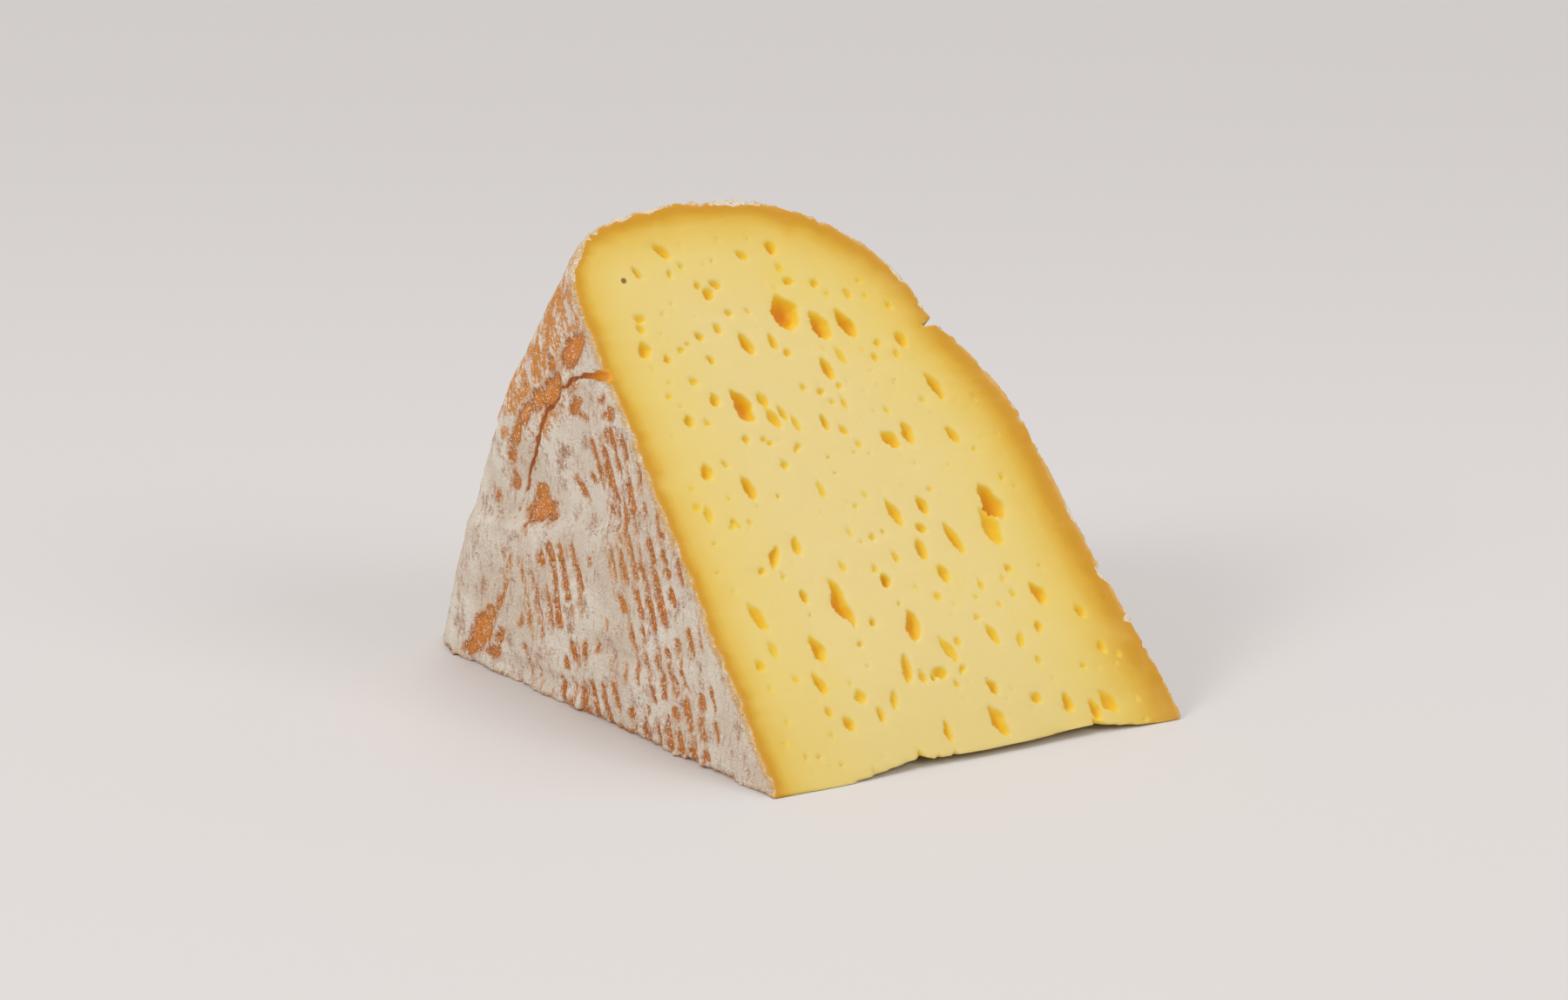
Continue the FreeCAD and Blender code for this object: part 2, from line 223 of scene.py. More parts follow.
# ---- Eyes ----
# (along the front edge, up the cut face, length, width, depth, lean to the left in degrees)
UPPER_EYES = (
    (32.8, 93.2, 7.2, 4.4, 2.6, 20), (39.5, 89.5, 6.4, 3.2, 2.2, 22), (45.4, 89.2, 6.8, 2.4, 2, 25),
    (17.9, 76.3, 7.6, 3.2, 2.2, 22), (22.7, 76.8, 3.4, 1.9, 1, 20), (23.7, 72.8, 5.2, 1.7, 0.9, 20),
    (22.8, 88.2, 5.4, 1.9, 1.5, 22), (28.6, 87.7, 4, 1.3, 1, 12), (30.8, 85.2, 2, 1.3, 0.9, 40),
    (10.9, 108.9, 4.6, 1.7, 1.2, 35), (4.4, 105.2, 3.6, 1.1, 0.9, 20), (27.4, 105.8, 3.4, 1.3, 0.9, 50),
    (34, 106.4, 2.8, 2.2, 1.4, 60), (18, 99.2, 3, 2, 1.2, 35), (19.9, 100.7, 2.8, 1.6, 0.9, 45),
    (16.2, 100.9, 2.2, 1.4, 0.8, 10), (35.5, 99.2, 2.6, 1.7, 1, 70), (41.1, 98.1, 2, 1.5, 0.9, 60),
    (1.9, 96.5, 2.6, 1.4, 0.8, 80), (1.7, 94.4, 2.8, 1.3, 0.7, 15), (20.9, 94.7, 2.1, 1.2, 0.7, 50),
    (0.9, 90, 3.5, 2.4, 1.3, 5), (5.4, 87.6, 2.2, 1.2, 1, 15), (13.3, 91, 2.3, 1.3, 1, 30),
    (14.2, 86.1, 2.4, 1.2, 0.9, 30), (8.7, 89, 1.8, 1.3, 0.6, 20), (42, 83, 5, 1.3, 0.6, 20),
    (38.1, 80.7, 5.2, 1.9, 1.4, 12), (12.5, 78.2, 3, 1.6, 1.2, 20), (6, 75, 2.8, 1.5, 1.2, 15),
    (25.9, 73.5, 3.9, 1.1, 0.9, 15), (28.1, 71.2, 4.2, 1.1, 0.7, 15), (35.3, 76.6, 1.9, 1.5, 0.8, 60),
    (36.9, 74.1, 2.1, 0.9, 0.5, 45), (39.4, 73.5, 4.2, 1, 0.5, 15), (34.1, 70.4, 4, 1.4, 1.1, 15),
    (37.8, 68.3, 3, 1.1, 0.7, 30), (9.2, 82.6, 2.5, 1.3, 0.6, 45), (47.6, 94.8, 2.8, 1.2, 0.8, 20),
    (56.2, 84.2, 3.8, 1.7, 1.3, 20), (50.8, 84.2, 2, 1.1, 0.8, 15), (49.2, 81.4, 2.4, 1.1, 0.7, 15),
    (54.1, 81.4, 2.6, 1.1, 0.6, -5), (59.9, 73.8, 6.6, 1.8, 1.5, 22), (46.9, 64.9, 4.9, 2.3, 1.5, 45),
    (51, 65.6, 5.2, 1.9, 1.4, 15), (60.6, 63.9, 4.9, 1.4, 1.1, 25), (56.4, 71.6, 2.2, 0.9, 0.5, 20),
    (13.9, 60.2, 5.4, 1.9, 1.5, 12), (4, 56.4, 4.2, 1.3, 0.7, -5), (1.9, 58.1, 2.4, 1.7, 0.5, 20),
    (29, 57.5, 4.6, 1.1, 0.6, 12), (43, 50.6, 6.4, 1.6, 1.2, 20), (49.4, 51, 4.2, 1.9, 1.4, 20),
    (15, 46, 5.2, 1.9, 1.3, -25), (11.5, 43.8, 1.6, 1.3, 0.8, 20), (20.4, 47.4, 4.2, 1.5, 1, 0),
    (32.2, 48.3, 3.6, 0.9, 0.4, 10), (18.6, 37.5, 3.2, 1.4, 1.2, 12), (7.6, 35.2, 6.8, 2.2, 1, 18),
    (25.9, 35, 10.4, 2.6, 2, 13), (36.7, 37.7, 3, 1.8, 2, 10), (28.5, 42, 3.2, 1.1, 0.5, 25),
    (40.2, 42, 3.2, 1, 0.7, 25), (35.3, 40.2, 2.2, 1, 0.6, -10), (31.3, 30.2, 2.3, 1.1, 1, 15),
    (8.8, 28.5, 4.2, 1.5, 0.6, 12), (17.9, 27, 5.8, 2.2, 1.6, 12), (39.4, 28.1, 6.4, 2.7, 1.8, -5),
    (16.2, 20.4, 5.2, 1.6, 1.2, 15), (16.3, 14.6, 2.8, 1.3, 0.8, 10), (19.6, 11.7, 3.6, 1.8, 1.2, 25),
    (27, 12.2, 3.6, 1.3, 1, 5), (30.8, 14.6, 4.2, 1.6, 0.8, -5), (35.2, 20.1, 6.2, 1.9, 1.2, -8),
    (38.3, 18, 3.2, 1.3, 0.7, 5), (42, 18.2, 3.4, 2, 1.1, 60), (40.4, 17.3, 2, 0.9, 1.3, 0),
    (40, 6.8, 4.6, 1.2, 1.2, 5), (46.2, 42.5, 5, 1.7, 1.3, 10), (47.6, 46.6, 2.6, 1.5, 1.1, 40),
    (54, 43.7, 7.4, 1.6, 1.4, 18), (64.4, 49.4, 8, 3.4, 2.6, 22), (62.7, 44.6, 8.6, 3.2, 1.2, 12),
    (49.4, 37, 4.2, 1.7, 1.2, 20), (63.5, 35.8, 1.9, 1.4, 0.8, 20), (56.6, 33.6, 3.2, 1.1, 0.5, 10),
    (68.4, 30, 5.2, 2, 1.5, 20), (76.1, 25, 3.4, 1.6, 1.1, 15), (66.4, 23.4, 2.8, 1.4, 1, 0),
    (55.8, 23.7, 5.2, 1.5, 0.9, 25), (45.5, 22.4, 6.8, 1.5, 0.8, 22), (47.8, 23.4, 2.6, 1.3, 0.6, 5),
    (61.6, 21.5, 4.2, 1.5, 0.6, -10), (52.3, 13.6, 3.8, 1.5, 1.3, 25), (51.3, 6.9, 7, 2.6, 1.5, 15),
    (60.8, 9.9, 2.6, 1.7, 1, 50), (67.3, 7.8, 4.2, 2.1, 1.3, 5), (73, 5.6, 4.6, 2, 1.4, 15),
    (76.1, 6.6, 5.8, 2.1, 1.2, 30), (73.2, 14.3, 1.8, 1, 0.7, 20), (38, 55, 2.2, 0.8, 0.5, 20),
    (33, 2.6, 4, 0.9, 1.4, 10), (36.7, 1.6, 2.4, 1, 1.4, 0), (40.1, 1.6, 2.6, 0.9, 1.2, 0),
    (73.4, 1.2, 6, 2.4, 3, 25), (83, 1.6, 0.9, 0.9, 0.8, 0), (20.3, 69, 1.5, 1.1, 0.7, 0),
    (21.4, 68, 1.4, 1, 0.6, 0), (27.2, 66.6, 1.6, 1.2, 0.7, 10), (26.4, 65.7, 1.1, 1, 0.5, 0),
    (8.6, 54, 1.6, 1.2, 0.7, 0), (7.9, 53, 1.2, 1, 0.6, 0), (9.4, 52.9, 1.2, 1, 0.5, 0),
    (47.4, 18.2, 1.6, 1.1, 0.7, 0), (46.7, 17.4, 1.1, 0.9, 0.5, 0),
)
LOWER_EYES = (
    (14, 24, 5.4, 2, 1.4, 18), (31, 62, 6.8, 2.4, 1.8, 22), (58, 48, 7.4, 2.8, 2, 15),
    (22, 88, 5, 1.8, 1.2, 25), (47, 97, 6, 2.2, 1.5, 20), (66, 76, 4.6, 1.7, 1.2, 12),
    (74, 34, 5.6, 2, 1.4, 24), (9, 52, 4.2, 1.6, 1.1, 10), (51, 20, 5, 1.9, 1.2, -12),
    (36, 40, 4.4, 1.5, 1.1, 20), (40, 78, 3.6, 1.6, 1, 30), (62, 62, 3.8, 1.5, 1, 8),
)
SMALL_EYES = 150  # further small eyes in each cut face
SMALL_ALONG = (0, 84)  # where they may lie along the front edge
SMALL_UP = (4, 112)  # and up the cut face
SMALL_INSET = 6  # mm that they keep from the rind
SMALL_GAP = 0.55  # share of two eyes' lengths that they keep apart
EYE_SLANT = 0.7  # how far an eye goes to the left for each mm of its depth
EYE_EDGE = 0.2  # mm of rounding at the rim of an eye
EYE_FULLNESS = 1.12  # a tapered eye looks smaller than its length and width
EYE_TAPER_TOP = 1.4  # 1 is a sharp point, and more is blunter
EYE_TAPER_FOOT = 2.2


def clear_of(eyes, along, up, length):
    """Whether an eye of this length keeps its distance here from other eyes."""
    return all(math.hypot(along - eye[0], up - eye[1]) > (eye[2] + length) * SMALL_GAP for eye in eyes)


def small_eyes(seed, taken):
    """Small slits scattered over a cut face, clear of the placed eyes and of the rind."""
    source = np.random.default_rng(SEED * 100 + seed)
    made = []
    while len(made) < SMALL_EYES:
        along = source.uniform(*SMALL_ALONG)
        up = source.uniform(*SMALL_UP)
        length = 0.9 + source.gamma(1.6, 0.55)
        width = length * source.uniform(0.32, 0.6)
        depth = width * source.uniform(0.4, 0.8)
        lean = source.normal(20, 12)
        distance = SECTION_TABLE(*wheel_places(ALONG * along + CUT_UP * up))
        if clear_of(taken + tuple(made), along, up, length) and distance < -SMALL_INSET:
            made.append((along, up, length, width, depth, lean))
    return made


class Grid:
    """A box of evenly spaced points round the block, with a field of distances on it."""

    def __init__(self):
        low = BOX_LOW - KNIFE_ORIGIN - MARGIN
        high = BOX_HIGH - KNIFE_ORIGIN + MARGIN
        counts = np.ceil((high - low) / STEP).astype(int) + 1
        self.low = low
        self.axes = [low[axis] + STEP * np.arange(counts[axis]) for axis in range(3)]
        self.shape = tuple(counts)
        self.field = np.empty(self.shape, np.float32)

    def points(self, part):
        """The points of a part of the grid, given as three slices."""
        x, y, z = np.meshgrid(*(axis[cut] for axis, cut in zip(self.axes, part)), indexing="ij")
        return np.stack([x, y, z], -1)

    def around(self, centre, reach):
        """The three slices of the grid within reach of a centre."""
        first = np.floor((centre - reach - self.low) / STEP).astype(int).clip(0)
        last = np.ceil((centre + reach - self.low) / STEP).astype(int) + 1
        return tuple(slice(a, max(a, min(b, n))) for a, b, n in zip(first, last, self.shape))


EYE_NOISE = Noise(1)


def carve_eye(grid, centre, up, out, length, width, depth, lean):
    """Cut one slit, a pointed hollow whose deep side reaches in under its left edge."""
    side = np.cross(up, out)
    angle = math.radians(lean)
    direction = up * math.cos(angle) - side * math.sin(angle)
    across = side * math.cos(angle) + up * math.sin(angle)
    part = grid.around(centre, length / 2 + width + depth)
    points = grid.points(part)
    if not points.size:
        return
    local = points - centre
    sunk = -(local @ out)
    wobble = EYE_NOISE(points, 2.2) * 0.2 * width + EYE_NOISE(points + 31, 1.1) * 0.07 * width
    lengthwise = (local @ direction) / (length / 2 * EYE_FULLNESS)
    sideways = (local @ across + EYE_SLANT * sunk.clip(0) + wobble) / (width / 2 * EYE_FULLNESS)
    taper = np.where(lengthwise > 0, EYE_TAPER_TOP, EYE_TAPER_FOOT)
    shape = np.sqrt(sideways ** 2 + (sunk / depth) ** 2) + np.abs(lengthwise) ** taper - 1
    hollow = shape * min(width / 2, depth)
    grid.field[part] = smooth_max(grid.field[part], -hollow, EYE_EDGE)


def carve_eyes(grid):
    lists = ((CUT_UP, CUT_OUT, UPPER_EYES, 2), (BACK, DOWN, LOWER_EYES, 3))
    for up, out, placed, seed in lists:
        for along, high, length, width, depth, lean in placed + tuple(small_eyes(seed, placed)):
            carve_eye(grid, ALONG * along + up * high, up, out, length, width, depth, lean)


# ---- Marks on the rinds ----
# Where the maturing mat and handling have bared the orange crust under the pale bloom. Places are
# (distance back from the front edge, height) on the left rind.
# A stroke is (back at its middle, bottom, top, width); all strokes have the mat's lean.
MAT_LEAN_DEGREES = 11.0
MAT_LEAN = math.tan(math.radians(MAT_LEAN_DEGREES))
MAT_PITCH = 4.0
MAT_START = 21.2  # where a line of the mat meets the board
FAINT_LANE = -0.15  # mm, how bare the bloom is worn along the mat's lines
EDGE_WEAR = 0.1  # mm, and how bare it is at the board
LEFT_STROKES = (
    (28.4, 35, 41, 1), (32.8, 38, 41, 1.3), (33.3, 42.7, 44.8, 1.8), (31.9, 35.3, 37, 1.9),
    (31.4, 29.7, 33.3, 1.8), (36.9, 36.7, 42.3, 1.5), (34.6, 25.2, 31.5, 2.3), (36, 30.5, 36, 1.6),
    (38.3, 23.2, 30, 1.9), (39.7, 30, 35.8, 1.4), (43.7, 34, 41, 1.5), (43.1, 32, 36, 1.8),
    (45, 43, 47, 2.6), (42.1, 24.2, 30.5, 1.5), (46.8, 31, 37.2, 1.9), (47.6, 24.5, 28, 2),
    (41.1, 19.4, 23, 1.2), (42.7, 45.8, 51.8, 2.3), (49.3, 45.8, 49.6, 1.9), (51.8, 42.4, 44.7, 1.5),
    (25.7, 21.8, 27, 1.4), (30, 21.6, 23.8, 1.7), (23.7, 10.8, 14.6, 2.1), (23, 4.7, 10, 1.2),
    (28, 8, 12.3, 1.9), (26.9, 5.6, 8.5, 1.3), (31.5, 7, 10, 1.8), (35.7, 10.3, 15.2, 1.2),
    (38.5, 8.5, 12.3, 1.3), (30.4, 0.5, 5.3, 2), (34, 0.5, 5.6, 2), (34.4, 5, 8, 1.2),
    (22.3, 1.2, 3.6, 2.3), (26.3, 0, 3, 2), (37.3, 0, 5, 1.2), (40.2, 0, 3.5, 0.8), (42.5, 0.5, 4, 0.8),
    (28.5, 13.5, 17.5, 0.8), (31.9, 12, 15.8, 0.9), (19.5, 12, 17, 0.9), (18.3, 6.5, 10, 0.9),
    (32.9, 18.5, 21, 1.3), (44.4, 17.5, 21, 1), (40.9, 6, 7.8, 1.5), (46.8, 3.5, 5.5, 1.7),
    (51.2, 4, 9.5, 1), (55, 0, 8, 1.4), (58.7, 0, 7.3, 1.6), (62.8, 0, 5, 1.5), (66.2, 0, 2, 1.3),
    (69.8, 0, 5.5, 1.3), (65, 10.2, 14, 1.8), (67.7, 7.8, 10, 1.4), (61, 11.5, 15, 1.2),
    (57.2, 13.5, 16, 1), (62.3, 25, 30, 1.6), (63.7, 29, 34, 1.2), (67.3, 21.5, 33.3, 1.6),
    (71.4, 28, 33, 2.2), (70.5, 22, 28, 1.3), (69.9, 15.4, 22, 2), (72.5, 15.2, 20, 1.5), (75, 27, 30, 2.2),
    (58.3, 31, 33, 1.2), (48.5, 57.5, 61.3, 2), (47, 51.3, 57, 1.3), (51, 51, 56.8, 1.6),
    (54.6, 50.3, 57, 1.6), (44.3, 55, 60, 1.2), (38.3, 46.5, 49, 1.2), (41.5, 41.5, 44.5, 0.7),
    (56.8, 48, 49.8, 1.6), (50.4, 58, 60, 0.9), (47.2, 38.2, 40.5, 1), (50.2, 31, 37.5, 0.7),
    (35.9, 18, 22, 0.7),
)
# A patch is (back, height, length, width, degrees that its length rises towards the back).
LEFT_PATCHES = (
    (59.6, 73.9, 11.6, 4.8, -42), (57, 76.6, 4, 3.2, 0), (67.5, 69.5, 3.2, 3.4, 0),
    (66.3, 65.8, 5, 3.2, -60), (68.5, 63.2, 8.4, 4.8, -50), (73, 60.8, 8, 3.8, -38),
    (77.5, 57, 7, 3.4, -45), (81.6, 52, 8.4, 2.8, -60), (83.9, 46.8, 4.6, 2.2, -62),
    (60.5, 62.6, 6.4, 2.8, -45), (51, 66, 3.4, 1.4, -50), (48.8, 63.9, 4.6, 2, -25), (58, 61.3, 3, 1.3, 10),
    (76, 38.2, 9.5, 5.2, -25), (75.8, 41.3, 5.4, 3.8, -45), (79.3, 36.6, 5, 3.2, -25),
    (72.2, 40.2, 3.2, 0.9, -15), (72, 37.2, 3.2, 1.8, -50), (61.3, 45.8, 5.6, 2, 50),
    (84.5, 41.5, 4.4, 2.2, -50), (91.2, 36.6, 3.2, 1.8, -60), (86, 24, 3.4, 0.8, -60),
    (87.5, 19.5, 4.2, 1.1, -60), (90.5, 15.5, 5.4, 1.3, -50), (97.6, 7.4, 11, 6, -50),
    (94.2, 11.5, 6.4, 3.4, -50), (93.4, 4.4, 5, 3, -20), (91, 8.6, 4.8, 2.4, -50),
    (101.5, 3.6, 6.4, 3.2, -40), (83.3, 13.5, 2.4, 1.1, -40), (82.2, 8.2, 1.7, 1.5, 0),
    (81, 6, 2.2, 1.2, 45), (57, 93.3, 4.4, 1.8, -50), (11.4, 15.9, 3.4, 1.3, 75),
    (12.6, 21.5, 3.2, 1.6, 60), (16.2, 22.5, 4.2, 1.1, 80),
)
# The crack that runs down from the cut face: (back, height, width).
CRACK = (
    (44, 73.2, 2.4), (48.5, 71.6, 2.2), (52, 70.7, 1.7), (56, 69.5, 1), (60.5, 68, 0.8), (64.5, 65.2, 0.8),
    (68, 61.2, 1), (70.4, 58.6, 1), (73.2, 54.2, 0.9), (75.4, 51, 0.9), (79.3, 44, 0.7), (84.6, 35.4, 0.5),
)
CRACK_DEPTH = 1.3  # mm
# Where pale crumbs of the rind are drawn over the rim of the cut face: (along, up, reach).
CRUMBS = (
    (28.5, 115.5, 8), (58, 97, 3.4), (62.5, 90.5, 2), (80.2, 44, 2.6), (82.6, 31, 4.2), (-6.5, 107.5, 4),
    (-2, 112, 4), (4, 115, 4), (11, 116.2, 3.5), (85.5, 22, 2), (76.5, 55.5, 1.8),
)
CRUMBS_DOWN = (3.5, 0.5)  # mm below the cut face where they have ended, and are full
RIGHT_STROKES = 110
HEEL_BARE_LEVEL = 1.25  # the higher, the less of the heel is bare
OUTSIDE = -3.0  # mm, the depth of a place that is far from every mark
OFF_RIND = 2  # mm that a mark loses in depth where its own rind ends
MARK_WARP = (0.35, 0.5)  # mm that the edges of the marks wander back, and up
# Zones of the left rind: soft edges going back and then in height, each as (outside, inside).
MAT_STRIP = (((14, 22), (60, 52)), ((66, 58),))
MAT_FOOT = (((58, 62), (90, 80)), ((38, 33),))
MAT_DENSE = (((35, 41), (61, 55)), ((37, 44), (66, 58)))


def random_strokes():
    """Strokes for the right rind, like those of the left rind."""
    source = np.random.default_rng(SEED)
    strokes = []
    for _ in range(RIGHT_STROKES):
        lane = MAT_PITCH * source.integers(1, 27) + source.normal(0, 0.25)
        low = source.uniform(-4, 92)
        high = low + source.uniform(1.8, 7.5)
        width = source.uniform(0.7, 2.1)
        strokes.append((lane - MAT_LEAN * (low + high) / 2, low, high, width))
    return strokes


RIGHT_MARKS = random_strokes()


def stroke_depth(x, y, low, high, width):
    """How far inside a stroke from one place to another each place is (negative outside)."""
    run = (high[0] - low[0], high[1] - low[1])
    square = run[0] ** 2 + run[1] ** 2
    share = np.clip(((x - low[0]) * run[0] + (y - low[1]) * run[1]) / square, 0, 1)
    return width / 2 - np.hypot(x - low[0] - run[0] * share, y - low[1] - run[1] * share)


def patch_depth(x, y, across, up, length, width, rise):
    """How far inside a patch each place is (negative outside)."""
    angle = math.radians(rise)
    lengthwise = ((x - across) * math.cos(angle) + (y - up) * math.sin(angle)) / (length / 2)
    sideways = ((y - up) * math.cos(angle) - (x - across) * math.sin(angle)) / (width / 2)
    return (1 - np.hypot(lengthwise, sideways)) * width / 2


def marks_depth(x, y, strokes, patches, lean):
    """How far inside the nearest bare mark each place is, in mm (negative outside)."""
    depth = np.full(x.shape, OUTSIDE)
    for middle, low, high, width in strokes:
        shift = lean * (high - low) / 2
        round_end = min(width, high - low) / 2
        start = (middle - shift, low + round_end)
        end = (middle + shift, high - round_end)
        depth = np.maximum(depth, stroke_depth(x, y, start, end, width))
    for patch in patches:
        depth = np.maximum(depth, patch_depth(x, y, *patch))
    return depth


def left_place(points):
    """Distance back along the left rind, and height."""
    return points[..., 1] / math.cos(SKEW_BACK), points[..., 2]


def zone(share, back, height, edges):
    """What is left of a share in a zone of the left rind, and 0 outside the zone."""
    for place, soft_edges in zip((back, height), edges):
        for outside, inside in soft_edges:
            share = share * ramp(place, outside, inside)
    return share


def mat_print(back, height):
    """Where the mat has printed its lines on the left rind: 1 there, 0 elsewhere."""
    return np.maximum(zone(1, back, height, MAT_STRIP), zone(1, back, height, MAT_FOOT))


def left_share(across):
    """How far each point belongs to the left rind, from 0 to 1."""
    return ramp(across, -39, -42.5)


def right_share(across, drop):
    """The same for the right rind."""
    return ramp(across, 33, 36.5) * ramp(drop, 40, 52)


BROAD, MIDDLE, FINE, GRAIN, WARP = (Noise(seed) for seed in range(11, 16))


def side_marks(back, height, left, right, warp):
    """Depth in the marks of the left and right rinds."""
    depth = np.full(back.shape, OUTSIDE)
    sides = ((left, LEFT_STROKES, LEFT_PATCHES, MAT_LEAN), (right, RIGHT_MARKS, (), -MAT_LEAN))
    for share, strokes, patches, lean in sides:
        near = share > 0.01
        x = back[near] + warp[near] * MARK_WARP[0]
        y = height[near] + warp[near] * MARK_WARP[1]
        marks = marks_depth(x, y, strokes, patches, lean)
        depth[near] = np.maximum(depth[near], marks - (1 - share[near]) * OFF_RIND)
    return depth


def heel_blotches(points, heel):
    """Depth in the blotches where the heel is bare."""
    blotches = 2.0 * BROAD(points, 8.0) + 1.3 * MIDDLE(points, 3.4) - HEEL_BARE_LEVEL
    return np.minimum(blotches, 1.6) - (1 - heel) * OFF_RIND


def mat_wear(points, back, height, left, right, warp):
    """Depth in the faint lines that the mat has worn in the bloom."""
    sides = np.maximum(left * mat_print(back, height), right)
    lean = np.where(right > 0.5, -MAT_LEAN, MAT_LEAN)
    lane = (back - lean * height - MAT_START) / MAT_PITCH + 0.5
    off_lane = np.abs(lane - np.floor(lane) - 0.5) * MAT_PITCH + warp * 0.25
    patchy = MIDDLE(points, 4.2) * 0.9
    dense = zone(left, back, height, MAT_DENSE)
    faint = FAINT_LANE + 0.5 * dense - off_lane * 0.7 + patchy - (1 - sides) * OFF_RIND
    return np.minimum(faint, 0.65 * dense + 0.05)


def foot_wear(points):
    """Depth in the wear along the edge that stands on the board."""
    return EDGE_WEAR - 0.5 * points[..., 2].clip(0) + 0.6 * FINE(points, 2.3)


def bare_depth(points, across, drop):
    """How far inside a bare mark each point of the rind is, in mm (negative where bloom is left)."""
    back, height = left_place(points)
    warp = WARP(points, 2.6)
    left = left_share(across)
    right = right_share(across, drop)
    heel = (1 - left) * (1 - right)
    depth = side_marks(back, height, left, right, warp)
    depth = np.maximum(depth, heel_blotches(points, heel))
    depth = np.maximum(depth, mat_wear(points, back, height, left, right, warp))
    return np.maximum(depth, foot_wear(points))


def crumbs(points):
    """How much of the rim is covered with pale crumbs, from 0 to 1."""
    share = np.zeros(points.shape[:-1])
    up = points @ CUT_UP
    for along, high, reach in CRUMBS:
        share = np.maximum(share, 1 - np.hypot(points[..., 0] - along, up - high) / reach)
    return share * ramp(-upper_cut(points), *CRUMBS_DOWN)


def crack_depth(points):
    """How far inside the crack's outline each point is, and how wide the crack is there."""
    back, height = left_place(points)
    wobble = FINE(points, 1.7) * 0.35
    depth = np.full(back.shape, OUTSIDE)
    width_here = np.full(back.shape, CRACK[-1][2])
    for (x0, y0, w0), (x1, y1, w1) in zip(CRACK, CRACK[1:]):
        width = (w0 + w1) / 2
        inside = stroke_depth(back + wobble, height + wobble, (x0, y0), (x1, y1), width)
        width_here = np.where(inside > depth, width, width_here)
        depth = np.maximum(depth, inside)
    return depth, width_here


# ---- Relief of the rinds, in mm ----
BUMP_WAVES = (15.0, 5.5, 2.1, 1.05)  # from bump to bump: broad, middle, fine, grain
BUMP_HEIGHTS = (0.38, 0.22, 0.12, 0.1)
BARE_SINK = 0.34  # how much lower a bared mark lies than the bloom
BARE_EDGE = (-0.15, 0.35)  # depths in a mark between which it goes down
MAT_PRINT_HEIGHT = 0.1  # half the height of the waves that the mat has printed
# The left rind steps in above a sloping line: (height, fall per mm back, place back of that
# height), depth, then soft edges as (outside, inside): its foot and top above the line, its front.
LEDGE = ((40, 0.2, 50), 2.0, (-1.0, 2.4), (22, 3), (42, 52))
# Creases in it: such a line, depth, half width, and where they set in and end.
CREASES = (
    ((5, 0.08, 60), 0.9, 1.8, (56, 64), (98, 84)),
    ((14, -0.06, 30), 0.7, 1.6, (16, 24), (66, 56)),
)
RIM = (2.4, 0.2)  # below the cut face: where its broken rim ends, and is full
FOOT = (2.2, 0.4)  # above the board: where the broken foot ends, and is full


def above_line(back, height, line):
    level, fall, place = line
    return height - level + fall * (back - place)


def ledge_relief(back, height, left):
    line, depth, foot, top, front = LEDGE
    above = above_line(back, height, line)
    return left * depth * ramp(above, *foot) * ramp(above, *top) * ramp(back, *front)


def crease_relief(back, height, left, crease):
    line, depth, half_width, front, end = crease
    profile = np.exp(-(above_line(back, height, line) / half_width) ** 2)
    return left * depth * profile * ramp(back, *front) * ramp(back, *end)


def broken_edges(points, middle, fine, grain):
    """The crumbly edges of the rind: by the cut face, under the crumbs and by the board."""
    rim = ramp(-upper_cut(points), *RIM)
    foot = ramp(points[..., 2], *FOOT)
    yield rim * (0.08 * fine + 0.4 * grain * ramp(middle, -0.4, 0.4) + 0.04)
    yield crumbs(points) * (0.7 * grain - 0.5 * fine)
    yield foot * (0.35 * middle + 0.45 * fine + 0.4 * grain)


def rind_relief(points, across, bare):
    """How far the rind's surface lies inside the plain wheel."""
    back, height = left_place(points)
    left = left_share(across)
    kinds = zip((BROAD, MIDDLE, FINE, GRAIN), BUMP_WAVES)
    bumps = [noise(points, wave) for noise, wave in kinds]
    relief = sum(amount * bump for amount, bump in zip(BUMP_HEIGHTS, bumps))
    relief += BARE_SINK * ramp(bare, *BARE_EDGE)
    lane = np.cos(2 * math.pi * (back - MAT_LEAN * height - MAT_START) / MAT_PITCH)
    relief += MAT_PRINT_HEIGHT * lane * left * mat_print(back, height)
    relief += ledge_relief(back, height, left)
    for crease in CREASES:
        relief += crease_relief(back, height, left, crease)
    for edge in broken_edges(points, *bumps[1:]):
        relief += edge
    return relief


# ---- The whole field ----
# How far the front edge has curled up off the board: (place along it, lift), in mm.
LIFT_PROFILE = (
    (17, 0), (26, 1.3), (33, 2.4), (35, 1.6), (47, 1.3), (60, 1.6), (71, 2.1), (76, 1.2), (82, 0.3),
    (88, 0),
)
LIFT_FULL = -8.0  # mm back from the front edge where the lift would be full
CUT_ROUNDING = 0.35  # mm, at the edges between the faces
SPLIT_TURN = 0.5  # mm to the right per mm of its depth
SPLIT_ROOF = 0.3  # mm that its upper side rises per mm towards the rind
SPLIT_FLOOR = 0.1  # mm that its lower side falls
SPLIT_HALF_GAP = 0.05  # mm at its tip


def front_edge_lift(points):
    """How far above the board the lower cut face is: its front edge has dried and curled up."""
    along, lift = np.array(LIFT_PROFILE).T
    return np.interp(points[..., 0], along, lift) * ramp(points[..., 1], LIFT_REACH, LIFT_FULL)


def split_field(points):
    """Signed distance to the split in the right rind, which closes further in."""
    below = -upper_cut(points)
    along = points[..., 0] - SPLIT_TIP[0] - SPLIT_TURN * below
    up = points @ CUT_UP - SPLIT_TIP[1] + FINE(points, 2.4) * 0.22
    roof = up - SPLIT_ROOF * along - SPLIT_HALF_GAP
    floor = -SPLIT_FLOOR * along - up - SPLIT_HALF_GAP
    return np.maximum(np.maximum(roof, floor), -along)


